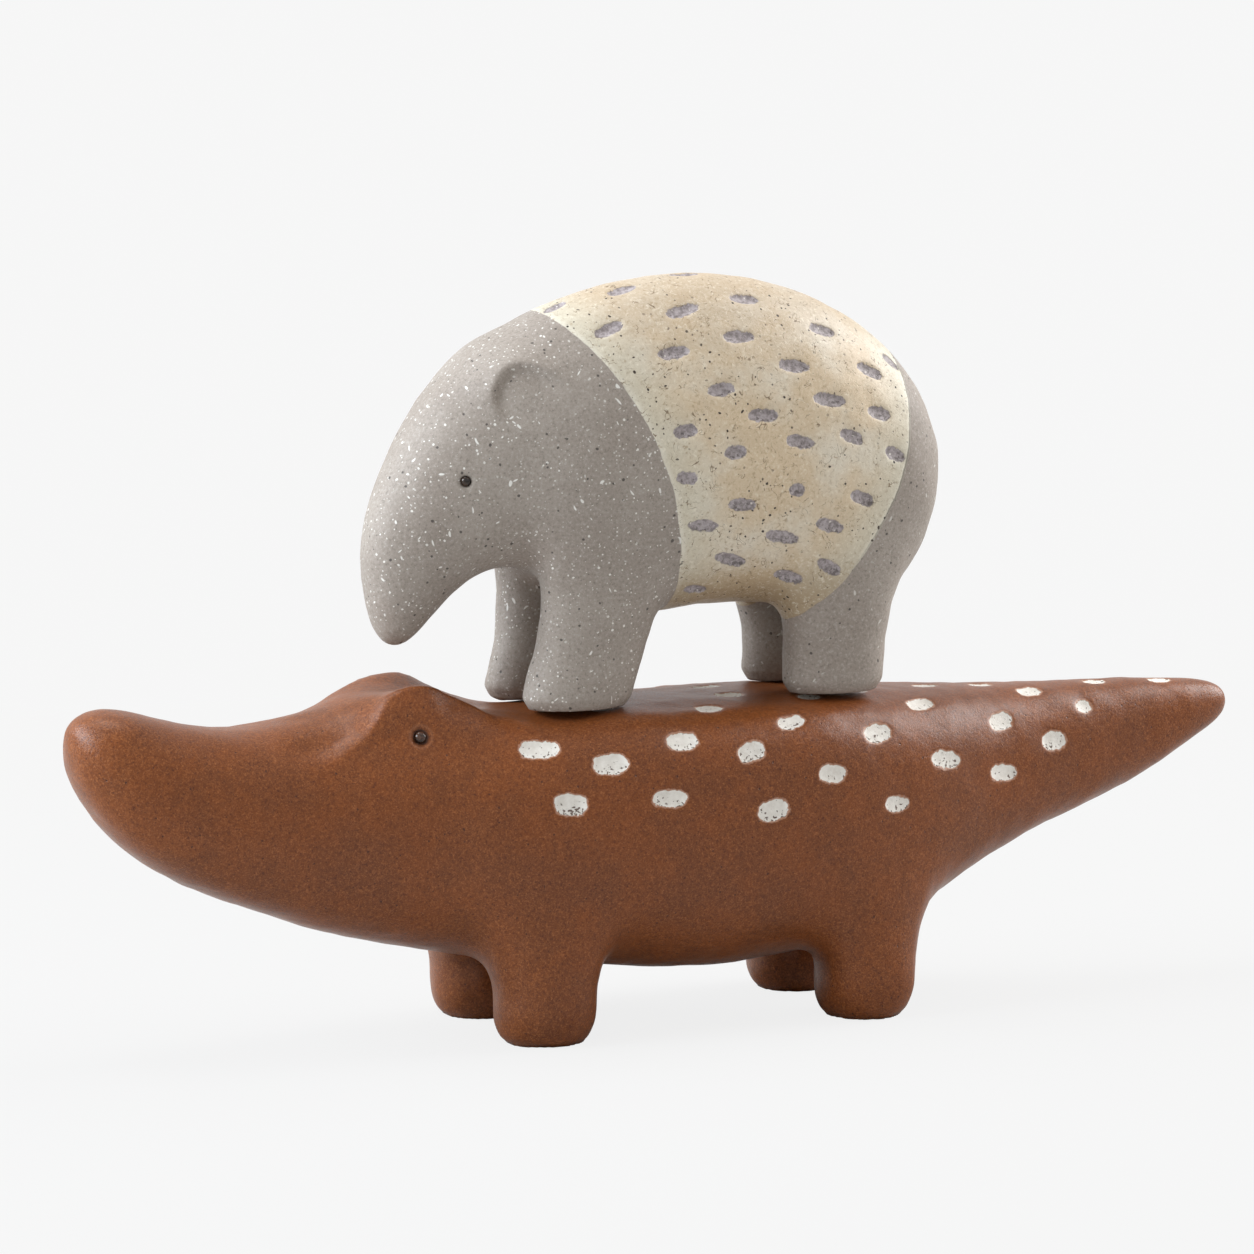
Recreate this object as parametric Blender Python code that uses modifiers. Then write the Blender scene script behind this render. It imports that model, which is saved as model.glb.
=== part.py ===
"""A two-piece resin sculpture: a tapir with a pale saddle stands on the back of a crocodile.

The frame is in metres with +Z up. The crocodile's nose points to -X and its tail to +X, the middle plane of both
animals is Y = 0, and the origin is on the floor under the middle of the crocodile's length.

Each animal is one casting. Its skin is a coarse cage: a cap at the nose, a ring of points at each rib, a cap at the
tail, and legs drawn down out of the lower corners of the body. A Mirror makes the other half, and a Subdivision
Surface smooths the whole. The cage is then adjusted until the smooth skin passes through the ribs as they are drawn.
The eyes, the ears and the hollowed spots and dashes are cut into that skin or joined to it.
"""

import math
from collections import namedtuple

import bmesh
import bpy
from mathutils import Matrix, Vector
from mathutils.bvhtree import BVHTree

MM = 0.001

# A rib is a slice across the animal. Its back and belly ends are (x, z) points in the middle plane, and square says
# how square its upper half is: 2 is an ellipse. brow is the height of the ridge over the eye, where there is one.
Rib = namedtuple("Rib", "back belly half_width square brow", defaults=(None,))

# A leg is a column that stands at x and y. Near its top it leans and swells towards the body.
Leg = namedtuple("Leg", "x y half_length half_width height lean")

# A circle in the side view, which bounds the saddle
Circle = namedtuple("Circle", "x z radius")

# The crocodile, in millimetres
CROC_BACK = 82.3  # height of the level stretch of its back, where the tapir stands
CROC_NOSE = (-160.7, 77.8)
CROC_TAIL = (160.7, 71.0)
CROC_WAIST = 0.46  # where a rib is widest, as a share of its height
CROC_BELLY_SQUARE = 2.3
CROC_LEG_SPREAD = 20.4
CROC_FRONT_LEG = Leg(-42.8, CROC_LEG_SPREAD, 12.8, 12.4, 14.0, 0.3)
CROC_HIND_LEG = Leg(45.7, CROC_LEG_SPREAD, 12.5, 12.4, 14.0, 0.4)
CROC_SOLE_ROUND = 5.0
BROW_SPREAD = 14.0  # from the middle plane to the crest of a brow
CROC_AXIS = 49.2  # height of the middle line that spots and eyes are measured round

# The tapir, in millimetres above its own soles
SEAT_GAP = 0.3  # between its soles and the crocodile's back
TAPIR_RUMP = (71.8, 56.0)
TAPIR_SNOUT = (-77.6, 17.6)
TAPIR_WAIST = 0.44
TAPIR_TOP_SQUARE = 2.1
TAPIR_BELLY_SQUARE = 2.2
TAPIR_LEG_SPREAD = 12.4
TAPIR_FRONT_LEG = Leg(-30.2, TAPIR_LEG_SPREAD, 14.5, 8.4, 14.0, 3.4)
TAPIR_HIND_LEG = Leg(40.4, TAPIR_LEG_SPREAD, 13.4, 8.4, 13.0, 0.4)
TAPIR_SOLE_ROUND = 2.5
TAPIR_AXIS = 46.0
SADDLE_FRONT = Circle(-111.4, 24.6, 105.3)  # the saddle lies outside this circle
SADDLE_REAR = Circle(-16.5, 81.2, 75.5)  # and inside this one

SOLE_DROP = 1.8  # how far a leg runs on below its sole before it is cut level

# Hollowed marks. Each has its x and its angle round the middle line, where 0 is the flank and 90 is the crest, and
# it leans by so many degrees, its end nearer the tail upwards.
MARK_SIDES = 7
MARK_DEPTH = 0.7
MARK_FLARE = 0.28  # how much wider a mark is one depth above the skin than at it, and narrower below
RIM_ANGLE = 30.0  # a sharper corner than this, in degrees, is shaded as an edge
CREST = 80  # a mark above this angle has no twin on the far side
DASH_WIDTH = 3.3
DASHES = (
    # x, angle, length, lean
    (4, 89, 7.8, 0), (-32, 87, 7.0, 15), (-15, 84, 8.2, 9), (15, 76, 8.2, -3), (-3, 73, 9.4, 12), (-23, 72, 8.2, 16),
    (35, 70, 7.9, -7), (56, 70, 6.5, -14), (10, 65, 8.6, 0), (-8, 63, 8.2, 3), (47, 61, 8.2, -19), (24, 58, 8.6, -7),
    (3, 52, 7.2, 5), (33, 49, 9.8, -8), (48, 47, 7.4, -11), (14, 44, 8.5, -2), (-7, 41, 6.5, 6), (39, 37, 7.2, -21),
    (24, 35, 8.2, -12), (6, 32, 5.9, 2), (52, 31, 6.7, -23), (-7, 23, 5.6, -4), (23, 15, 4.5, -8), (42, 9, 7.4, -22),
    (8, 9, 7.8, -5), (-2, -1, 7.7, -3), (33, -5, 8.3, -18), (20, -10, 9.8, -14), (7, -23, 9.3, -19),
    (34, -29, 7.6, -29), (24, -36, 7.7, -13), (0, -46, 6.8, -15),
)
SPOTS = (
    # x, angle, length, width, lean
    (-46, 45, 10.2, 4.7, -5), (-29, 35, 9.1, 5.0, 0), (-40, 21, 8.5, 5.2, -9), (-9, 41, 8.4, 4.9, 2),
    (-14, 20, 9.1, 4.2, -4), (9, 35, 7.6, 5.0, 14), (14, 12, 8.2, 5.1, 11), (3, 59, 7.0, 4.6, 5),
    (22, 46, 7.7, 3.8, 14), (33, 66, 6.5, 4.4, 10), (31, 25, 7.5, 4.3, -5), (46, 41, 8.3, 4.9, 16),
    (50, 11, 7.4, 3.8, -7), (63, 59, 8.5, 4.4, 20), (66, 31, 9.5, 4.3, -6), (86, 53, 7.4, 4.7, 17),
    (85, 26, 8.4, 4.1, -4), (99, 75, 7.0, 4.2, 10), (102, 46, 7.6, 4.6, -2), (113, 65, 4.8, 3.6, 10),
    (140, 86, 6.0, 3.4, 0), (72, 87, 6.5, 4.0, 0), (88, 88, 6.0, 4.0, 0), (121, 87, 6.0, 3.8, 0),
    (-24, 70, 8.0, 4.6, 0), (14, 78, 7.5, 4.5, 0), (49, 76, 7.0, 4.4, 0),
)

# Eyes: a bead in a shallow round socket. Places are measured as for the marks.
CROC_EYE = (-75.0, 57.0)
CROC_SOCKET = 2.45  # radius
CROC_BEAD = 1.6
TAPIR_EYE = (-61.9, 36.5)
TAPIR_SOCKET = 1.6
TAPIR_BEAD = 1.3
SOCKET_DEPTH = 0.8
SOCKET_FLARE = 0.15
SOCKET_SIDES = 12
BEAD_SINK = 0.55  # how deep a bead's middle lies below the skin, as a share of its radius
BEAD_FACES = (8, 6)  # round it and over it

# The tapir's ear: a flat pebble shape that stands proud at the front and sinks into the neck behind
EAR = (-44.0, 62.0)
EAR_SIZE = (12.0, 8.0, 3.2)  # half of its length, height and thickness
EAR_SINK = 2.9
EAR_TILT = 11.0  # how far its front edge is turned out of the skin, in degrees
EAR_RISE = 30.0  # how far its front points up
EAR_FACES = (12, 8)  # round it and over it

RING = 8  # faces in half a ring, from the middle of the back to the middle of the belly
RIB_ANGLES = [90 - 180 / RING * step for step in range(RING + 1)]
CAP_INNER = 0.52  # where the points between a cap's tip and its rim lie, as a share of the way to the rim
CAP_BULGE = 0.78  # how far out they stand, as a share of the tip
LEG_ANGLES = [90, 67, 44, 21, 0, -18, -46, -73, -90]  # at the ribs of a leg, closer together where it grows
LEG_ROOTS = 0  # the vertex group of the ring that each leg grows from
LEG_SWELL = 1.02  # how much wider a leg is at its top than at its sole
LEG_TAPER = 0.66  # how much narrower its cage is at the sole
LEG_CORNER = 0.74  # how far the corners of its cage stand out, as a share of the middles of its sides
LEG_FROM = 5  # the leg grows from the ring's faces between these two points
LEG_TO = 7


def croc_ribs():
    """The crocodile's ribs from nose to tail, and the number of the middle rib of each leg."""
    drawn = [
        # x, back, belly, half width, square, brow
        (-158.4, 85.2, 68.4, 8.2, 2.2, None),
        (-152.4, 87.5, 58.6, 13.2, 2.3, None),
        (-143.0, 86.3, 49.9, 16.6, 2.4, None),
        (-131.0, 82.7, 42.5, 18.8, 2.5, None),
        (-118.0, 80.9, 36.8, 20.3, 2.5, None),
        (-106.0, 82.0, 32.2, 21.4, 2.5, None),
        (-96.0, 84.0, 28.9, 22.3, 2.5, 79.8),
        (-89.0, 84.6, 26.8, 23.0, 2.5, 83.6),
        (-82.0, 85.8, 25.0, 23.9, 2.5, 88.4),
        (-74.5, 86.6, 23.2, 24.9, 2.5, 90.8),
        (-67.0, 85.6, 21.6, 26.4, 2.6, 90.5),
        (-60.0, 82.4, 20.0, 28.6, 2.9, 87.1),
        (CROC_FRONT_LEG.x, CROC_BACK - 0.7, 18.0, 31.6, 3.3, None),
        (-26.5, CROC_BACK, 15.8, 33.4, 3.6, None),
        (-11.0, CROC_BACK, 13.8, 34.2, 3.8, None),
        (8.0, CROC_BACK, 12.6, 34.4, 3.8, None),
        (29.0, CROC_BACK, 13.8, 33.8, 3.8, None),
        (CROC_HIND_LEG.x, CROC_BACK - 0.7, 17.2, 32.0, 3.5, None),
        (62.5, CROC_BACK - 1.6, 21.0, 28.2, 3.1, None),
        (77.0, 80.0, 29.8, 23.6, 2.8, None),
        (94.0, 79.2, 37.8, 18.8, 2.6, None),
        (113.0, 78.7, 44.9, 14.5, 2.5, None),
        (132.0, 78.1, 51.8, 10.8, 2.4, None),
        (148.0, 77.4, 60.4, 7.8, 2.3, None),
        (157.0, 75.8, 65.4, 5.2, 2.2, None),
    ]
    ribs = [Rib((x, back), (x, belly), width, square, brow) for x, back, belly, width, square, brow in drawn]
    return ribs, (12, 17)


def tapir_ribs():
    """The tapir's ribs from snout to rump, which fan round the bend of its neck, and its leg ribs."""
    drawn = [
        # back, belly, half width
        ((-81.6, 28.6), (-71.8, 17.0), 7.2),
        ((-82.8, 40.4), (-67.9, 20.8), 9.8),
        ((-79.4, 53.6), (-63.9, 24.8), 12.4),
        ((-73.4, 66.6), (-58.8, 29.6), 15.2),
        ((-65.7, 78.2), (-52.8, 33.0), 17.8),
        ((-56.2, 87.8), (-46.0, 34.4), 20.4),
        ((-45.5, 94.1), (-38.0, 32.6), 23.0),
        ((-30.5, 100.3), (TAPIR_FRONT_LEG.x + 2, 26.5), 26.0),
        ((-13.0, 104.9), (-8.0, 20.6), 27.8),
        ((6.0, 106.4), (6.0, 22.4), 29.0),
        ((24.0, 104.0), (24.0, 22.0), 28.6),
        ((41.0, 98.4), (TAPIR_HIND_LEG.x, 21.5), 27.2),
        ((56.2, 88.9), (58.2, 22.8), 24.0),
        ((66.4, 77.2), (65.2, 31.0), 19.0),
        ((70.9, 66.8), (70.0, 43.6), 12.0),
    ]
    ribs = [Rib(back, belly, width, TAPIR_TOP_SQUARE) for back, belly, width in drawn]
    return ribs, (7, 11)


def on_rung(rib, share):
    """The (x, z) point at that share of the way from a rib's belly to its back."""
    return Vector(rib.belly).lerp(Vector(rib.back), share)


def rib_point(rib, angle, waist, belly_square):
    """The point of a rib's outline at an angle from its widest level, 90 being the back and -90 the belly."""
    up = math.sin(math.radians(angle))
    out = max(math.cos(math.radians(angle)), 0.0)
    square = rib.square if up >= 0 else belly_square
    reach = abs(up) ** (2 / square)
    share = waist + (1 - waist) * reach if up >= 0 else waist * (1 - reach)
    x, z = on_rung(rib, share)
    return Vector((x, rib.half_width * out ** (2 / square), z))


def new_beyond(old, made):
    """The vertex that an extrusion drew out of this one."""
    return next(edge.other_vert(old) for edge in old.link_edges if edge.other_vert(old) in made)


def extruded_ring(bm, ring):
    """Draws a new open ring of vertices out of the last one."""
    edges = [bm.edges.get(pair) for pair in zip(ring, ring[1:])]
    made = bmesh.ops.extrude_edge_only(bm, edges=edges)["geom"]
    made = {item for item in made if isinstance(item, bmesh.types.BMVert)}
    return [new_beyond(vert, made) for vert in ring]


def cap(bm, rib, tip, waist, belly_square):
    """A half cap of 2 by 4 faces that bulges from a rib to the tip. Returns its rim, from back to belly."""
    inner_angles = {(0, 1): 90, (1, 1): 45, (1, 0): 0, (1, -1): -45, (0, -1): -90}
    centre = on_rung(rib, waist)
    middle = Vector((centre.x, 0, centre.y))
    out = Vector((tip[0], 0, tip[1])) - middle
    rim = {}
    for vert in bmesh.ops.create_grid(bm, x_segments=2, y_segments=4, size=2.0)["verts"]:
        column = round((vert.co.x + 2) / 2)
        row = round(vert.co.y)
        if abs(row) == 2 or column == 2:
            step = {2: column, 1: 3, 0: 4, -1: 5, -2: 8 - column}[row]
            vert.co = rib_point(rib, RIB_ANGLES[step], waist, belly_square)
            rim[step] = vert
        elif (column, row) in inner_angles:
            edge = rib_point(rib, inner_angles[column, row], waist, belly_square)
            vert.co = middle.lerp(edge, CAP_INNER) + out * CAP_BULGE
        else:
            vert.co = middle + out
    return [rim[step] for step in range(RING + 1)]


def leg_faces(rings, middle):
    """The four faces at the lower corner of the body that a leg grows from."""
    wanted = []
    for first, second in ((middle - 1, middle), (middle, middle + 1)):
        for step in range(LEG_FROM, LEG_TO):
            corner = {rings[first][step], rings[second][step], rings[second][step + 1]}
            wanted += [face for face in rings[first][step].link_faces if corner <= set(face.verts)]
    return wanted


def grow_leg(bm, rings, middle, leg, sole_round):
    """Draws a leg down in three steps, and ends it a little below its sole, where it is cut level."""
    places = {}
    for along in (-1, 0, 1):
        for across, step in ((1, LEG_FROM), (0, LEG_FROM + 1), (-1, LEG_TO)):
            places[along, across] = rings[middle + along][step]
    faces = leg_faces(rings, middle)
    weights = bm.verts.layers.deform.active
    for vert in places.values():
        vert[weights][LEG_ROOTS] = 1.0
    steps = ((leg.height, LEG_SWELL, leg.lean), (sole_round, 1.0, 0.0), (-SOLE_DROP, LEG_TAPER, 0.0))
    for height, size, lean in steps:
        made = bmesh.ops.extrude_face_region(bm, geom=faces)["geom"]
        verts = {item for item in made if isinstance(item, bmesh.types.BMVert)}
        places = {place: new_beyond(vert, verts) for place, vert in places.items() if any(place)}
        places[0, 0] = (verts - set(places.values())).pop()
        bmesh.ops.delete(bm, geom=faces, context="FACES")
        faces = [item for item in made if isinstance(item, bmesh.types.BMFace)]
        for (along, across), vert in places.items():
            corner = LEG_CORNER if along and across else 1.0
            vert.co.x = leg.x + lean + along * corner * size * leg.half_length
            vert.co.y = leg.y + across * corner * size * leg.half_width
            vert.co.z = height
            vert[weights].clear()


def pass_through(obj, rounds=24):
    """Moves the cage until the smooth skin passes through the places where the cage was drawn.

    The ring that a leg grows from is left out, so that the leg runs into the body in a soft hollow.
    """
    goals = [vert.co.copy() for vert in obj.data.vertices]
    for _ in range(rounds):
        obj.data.update()
        skin = obj.evaluated_get(bpy.context.evaluated_depsgraph_get()).data
        moves = [goal - skin.vertices[index].co for index, goal in enumerate(goals)]
        for vert, move in zip(obj.data.vertices, moves):
            if LEG_ROOTS not in [group.group for group in vert.groups]:
                vert.co += move
    obj.data.update()


def add_object(name, mesh, collection):
    """Puts a mesh in the scene as an object of that name."""
    mesh.name = name
    obj = bpy.data.objects.new(name, mesh)
    collection.objects.link(obj)
    return obj


def mesh_from(bm, name):
    """Turns a finished bmesh, drawn in millimetres, into a mesh in metres."""
    bmesh.ops.scale(bm, vec=(MM, MM, MM), verts=bm.verts)
    mesh = bpy.data.meshes.new(name)
    bm.to_mesh(mesh)
    bm.free()
    return mesh


def add_body(name, collection, ribs, leg_ribs, ends, shape, legs, sole_round):
    """One animal's smooth skin, without its marks: the cage, its mirrored half and its Subdivision Surface."""
    bm = bmesh.new()
    bm.verts.layers.deform.new()
    rings = [cap(bm, ribs[0], ends[0], *shape)]
    for index, rib in enumerate(ribs[1:], start=1):
        rings.append(extruded_ring(bm, rings[-1]))
        near_leg = any(abs(index - middle) <= 1 for middle in leg_ribs)
        angles = LEG_ANGLES if near_leg else RIB_ANGLES
        for vert, angle in zip(rings[-1], angles):
            vert.co = rib_point(rib, angle, *shape)
        if rib.brow:
            rings[-1][1].co.y = BROW_SPREAD
            rings[-1][1].co.z = rib.brow
    for middle, leg in zip(leg_ribs, legs):
        grow_leg(bm, rings, middle, leg, sole_round)
    cap(bm, ribs[-1], ends[1], *shape)
    bmesh.ops.remove_doubles(bm, verts=bm.verts, dist=0.01)
    bmesh.ops.recalc_face_normals(bm, faces=bm.faces)
    obj = add_object(name, mesh_from(bm, name), collection)
    obj.vertex_groups.new(name="leg_roots")
    obj.data.shade_smooth()
    mirror = obj.modifiers.new("other_half", "MIRROR")
    mirror.use_axis = (False, True, False)
    mirror.merge_threshold = 0.00005
    smooth = obj.modifiers.new("smooth_skin", "SUBSURF")
    smooth.levels = smooth.render_levels = 1
    pass_through(obj)
    return obj


def finished_skin(obj):
    """A plain mesh of the object as its modifiers leave it."""
    return bpy.data.meshes.new_from_object(obj.evaluated_get(bpy.context.evaluated_depsgraph_get()))


def cut_outline(bm, distance):
    """Draws new edges through the skin where distance() is zero."""
    new = set()
    for edge in list(bm.edges):
        near, far = (distance(vert.co) for vert in edge.verts)
        if near * far < 0:
            new.add(bmesh.utils.edge_split(edge, edge.verts[0], near / (near - far))[1])
    for face in list(bm.faces):
        ends = [vert for vert in face.verts if vert in new]
        if len(ends) == 2:
            bmesh.utils.face_split(face, ends[0], ends[1])


def from_circle(place, circle):
    """How far a point lies outside a circle of the side view, in millimetres."""
    return math.hypot(place.x / MM - circle.x, place.z / MM - circle.z) - circle.radius


def paint_saddle(obj):
    """Gives the band between the two circles of the side view the second material."""
    mesh = finished_skin(obj)
    obj.modifiers.clear()
    bm = bmesh.new()
    bm.from_mesh(mesh)
    for circle in (SADDLE_FRONT, SADDLE_REAR):
        cut_outline(bm, lambda place: from_circle(place, circle))
    for face in bm.faces:
        middle = face.calc_center_median()
        if from_circle(middle, SADDLE_FRONT) > 0 > from_circle(middle, SADDLE_REAR):
            face.material_index = 1
    bm.to_mesh(obj.data)
    bm.free()


def skin_frame(tree, axis, x, angle, side):
    """The place on the skin at x and that angle: its own X runs along the body and its Z points out."""
    turn = math.radians(angle)
    out = Vector((0, side * math.cos(turn), math.sin(turn)))
    start = Vector((x, 0, axis)) * MM
    place, normal, _, _ = tree.ray_cast(start + out * 0.2, -out)
    along = (Vector((1, 0, 0)) - normal * normal.x).normalized()
    frame = Matrix((along, normal.cross(along), normal)).transposed().to_4x4()
    frame.translation = place
    return frame


def sized(x, y, z):
    """A matrix that scales by millimetres."""
    return Matrix.Diagonal((x * MM, y * MM, z * MM, 1))


def add_tool(name, bm, body, material, collection, operation="DIFFERENCE"):
    """Cuts a shape out of a body, or joins it to the body, and keeps the shape as a hidden cutter."""
    mesh = bpy.data.meshes.new(name)
    bm.to_mesh(mesh)
    bm.free()
    mesh.materials.append(material)
    mesh.shade_smooth()
    tool = add_object(name, mesh, collection)
    tool.location = body.location
    hide_tool(tool)
    join = body.modifiers.new(name, "BOOLEAN")
    join.operation = operation
    join.object = tool
    join.use_self = True  # shapes in one cutter may meet each other
    join.material_mode = "TRANSFER"


def hide_tool(tool):
    """Marks an object as a cutter, which isn't part of the sculpture."""
    tool.hide_render = True
    tool.display_type = "WIRE"


def hollow_marks(body, tree, axis, marks, material, collection):
    """Hollows the marks out of both sides of a body. A mark is its x, angle, length, width and lean."""
    bm = bmesh.new()
    for x, angle, length, width, lean in marks:
        for side in (-1, 1):
            if side > 0 and angle > CREST:
                continue
            turn = Matrix.Rotation(math.radians(-side * lean), 4, "Z")
            frame = skin_frame(tree, axis, x, angle, side) @ turn
            bmesh.ops.create_cone(bm, cap_ends=True, segments=MARK_SIDES, radius1=1 - MARK_FLARE,
                                  radius2=1 + MARK_FLARE, depth=2.0,
                                  matrix=frame @ sized(length / 2, width / 2, MARK_DEPTH))
    add_tool(body.name + "_marks", bm, body, material, collection)


def add_eyes(body, tree, axis, eye, socket, bead, skin_material, bead_material, collection):
    """Sinks a socket in each side of the head and sets a round bead in it."""
    sockets = bmesh.new()
    beads = bmesh.new()
    for side in (-1, 1):
        frame = skin_frame(tree, axis, *eye, side)
        bmesh.ops.create_cone(sockets, cap_ends=True, segments=SOCKET_SIDES, radius1=1 - SOCKET_FLARE,
                              radius2=1 + SOCKET_FLARE, depth=2.0,
                              matrix=frame @ sized(socket, socket, SOCKET_DEPTH))
        sunk = Matrix.Translation((0, 0, -BEAD_SINK * bead))
        bmesh.ops.create_uvsphere(beads, u_segments=BEAD_FACES[0], v_segments=BEAD_FACES[1], radius=1.0,
                                  matrix=frame @ sized(1, 1, 1) @ sunk @ Matrix.Scale(bead, 4))
    add_tool(body.name + "_sockets", sockets, body, skin_material, collection)
    add_tool(body.name + "_beads", beads, body, bead_material, collection, operation="UNION")


def add_ears(body, tree, material, collection):
    """Joins a low flat ear to each side of the tapir's head."""
    bm = bmesh.new()
    for side in (-1, 1):
        frame = skin_frame(tree, TAPIR_AXIS, *EAR, side) @ sized(1, 1, 1)
        rise = Matrix.Rotation(math.radians(EAR_RISE * side), 4, "Z")
        tilt = Matrix.Rotation(math.radians(EAR_TILT), 4, "Y")
        sink = Matrix.Translation((0, 0, -EAR_SINK))
        shape = Matrix.Diagonal((*EAR_SIZE, 1))
        bmesh.ops.create_uvsphere(bm, u_segments=EAR_FACES[0], v_segments=EAR_FACES[1], radius=1.0,
                                  matrix=frame @ sink @ rise @ tilt @ shape)
    add_tool("tapir_ears", bm, body, material, collection, operation="UNION")


def add_material(name, colour, roughness):
    """A plain glaze: its colour as linear red, green and blue, and its roughness."""
    material = bpy.data.materials.new(name)
    material.use_nodes = True
    shader = material.node_tree.nodes["Principled BSDF"]
    shader.inputs["Base Color"].default_value = (*colour, 1)
    shader.inputs["Roughness"].default_value = roughness
    shader.inputs["Metallic"].default_value = 0.0
    return material


def new_collection(name):
    """An empty collection in the scene."""
    collection = bpy.data.collections.new(name)
    bpy.context.scene.collection.children.link(collection)
    return collection


def finish(obj):
    """Makes the object's finished skin its mesh, smooth all over but for the rims of what was cut into it."""
    mesh = finished_skin(obj)
    obj.modifiers.clear()
    obj.data = mesh
    mesh.name = obj.name
    mesh.shade_smooth()
    mesh.set_sharp_from_angle(angle=math.radians(RIM_ANGLE))


def main():
    for obj in list(bpy.data.objects):
        bpy.data.objects.remove(obj)
    sculpture = new_collection("resin_animals")
    cutters = new_collection("cutters")
    brown = add_material("brown_glaze", (0.262, 0.083, 0.030), 0.42)
    white = add_material("white_spots", (0.680, 0.640, 0.560), 0.75)
    grey = add_material("grey_stone", (0.305, 0.275, 0.250), 0.60)
    cream = add_material("cream_glaze", (0.580, 0.490, 0.320), 0.50)
    lilac = add_material("lilac_dashes", (0.290, 0.265, 0.285), 0.60)
    dark = add_material("eye_bead", (0.020, 0.012, 0.008), 0.12)

    ribs, leg_ribs = croc_ribs()
    croc = add_body("crocodile", sculpture, ribs, leg_ribs, (CROC_NOSE, CROC_TAIL),
                    (CROC_WAIST, CROC_BELLY_SQUARE), (CROC_FRONT_LEG, CROC_HIND_LEG), CROC_SOLE_ROUND)
    croc.data.materials.append(brown)
    ribs, leg_ribs = tapir_ribs()
    tapir = add_body("tapir", sculpture, ribs, leg_ribs, (TAPIR_SNOUT, TAPIR_RUMP),
                     (TAPIR_WAIST, TAPIR_BELLY_SQUARE), (TAPIR_FRONT_LEG, TAPIR_HIND_LEG), TAPIR_SOLE_ROUND)
    tapir.data.materials.append(grey)
    tapir.data.materials.append(cream)
    paint_saddle(tapir)
    tapir.location.z = (CROC_BACK + SEAT_GAP) * MM

    # The tapir's soles follow the crocodile's back at the seat gap.
    seat = add_object("seat", finished_skin(croc), cutters)
    hide_tool(seat)
    grow = seat.modifiers.new("gap", "DISPLACE")
    grow.mid_level = 0.0
    grow.strength = SEAT_GAP * MM
    trim = tapir.modifiers.new("soles", "BOOLEAN")
    trim.object = seat
    trim.material_mode = "INDEX"

    # The crocodile's soles are level with the floor.
    length = CROC_TAIL[0] - CROC_NOSE[0]
    floor = bmesh.new()
    bmesh.ops.create_cube(floor, size=1.0, matrix=sized(length, length, CROC_BACK) @ Matrix.Translation((0, 0, -0.5)))
    depsgraph = bpy.context.evaluated_depsgraph_get()
    croc_skin = BVHTree.FromObject(seat, depsgraph)
    tapir_skin = BVHTree.FromObject(tapir, depsgraph)
    add_tool("floor", floor, croc, brown, cutters)
    hollow_marks(croc, croc_skin, CROC_AXIS, SPOTS, white, cutters)
    add_eyes(croc, croc_skin, CROC_AXIS, CROC_EYE, CROC_SOCKET, CROC_BEAD, brown, dark, cutters)
    dashes = [(x, angle, length, DASH_WIDTH, lean) for x, angle, length, lean in DASHES]
    hollow_marks(tapir, tapir_skin, TAPIR_AXIS, dashes, lilac, cutters)
    add_ears(tapir, tapir_skin, grey, cutters)
    add_eyes(tapir, tapir_skin, TAPIR_AXIS, TAPIR_EYE, TAPIR_SOCKET, TAPIR_BEAD, grey, dark, cutters)
    finish(tapir)
    finish(croc)


main()
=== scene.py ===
# %% [markdown]
# # A tapir standing on a crocodile
#
# The object is a shelf sculpture in painted resin. A brown crocodile with a long level back carries a grey
# tapir with a cream saddle. Both are smooth pebble-like castings, and nearly all of their look is in the
# glaze: fine speckle, white spots, grey dashes and small glossy eyes.
#
# The measured model comes first, as a fixed frame. Everything else is built over it in the same metres, so a
# piece goes where the measured one is and nothing has to be fitted by eye.

# %% Load the measured model
import math

import bpy
import numpy as np
from mathutils import Matrix, Vector


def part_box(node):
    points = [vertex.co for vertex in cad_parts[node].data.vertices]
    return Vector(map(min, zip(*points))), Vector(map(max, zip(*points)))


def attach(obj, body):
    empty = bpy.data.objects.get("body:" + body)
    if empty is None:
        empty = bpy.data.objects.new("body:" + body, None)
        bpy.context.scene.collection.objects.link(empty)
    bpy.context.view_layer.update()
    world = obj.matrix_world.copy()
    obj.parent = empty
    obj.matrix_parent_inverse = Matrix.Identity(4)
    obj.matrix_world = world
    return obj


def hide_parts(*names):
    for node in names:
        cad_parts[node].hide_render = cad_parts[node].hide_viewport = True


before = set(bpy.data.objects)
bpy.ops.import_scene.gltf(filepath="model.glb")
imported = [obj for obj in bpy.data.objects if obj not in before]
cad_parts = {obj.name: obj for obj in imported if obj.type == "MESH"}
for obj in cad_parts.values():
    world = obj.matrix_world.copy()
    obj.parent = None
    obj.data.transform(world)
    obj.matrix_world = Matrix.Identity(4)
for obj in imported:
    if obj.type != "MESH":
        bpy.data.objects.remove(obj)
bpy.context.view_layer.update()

MM = 0.001

# %% [markdown]
# ## Camera
#
# The picture was taken from a little above and a little to the left of the flank, with a long lens, so that
# lines hardly converge. A camera far away with a long focal length gives the same calm drawing. It looks
# along its own -Z axis, so that axis is turned towards the point it should see in the middle.

# %% Place the camera
CAMERA_PLACE = Vector((-0.72736, -1.60890, 0.35000))
CAMERA_AIM = Vector((-0.01104, 0.0, 0.09981))
SENSOR_WIDTH = 36.0  # in millimetres, as the focal length is
FOCAL_LENGTH = 202.646
NEAREST, FARTHEST = 0.05, 60.0  # what the camera sees, in metres


def new_object(name, data):
    """Puts a camera, a lamp or a mesh into the scene."""
    thing = bpy.data.objects.new(name, data)
    bpy.context.scene.collection.objects.link(thing)
    return thing


def set_up(thing, place, aim):
    """Puts a camera or a lamp at a place and turns it towards what it aims at."""
    thing.location = place
    thing.rotation_euler = (aim - place).to_track_quat("-Z", "Y").to_euler()


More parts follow.
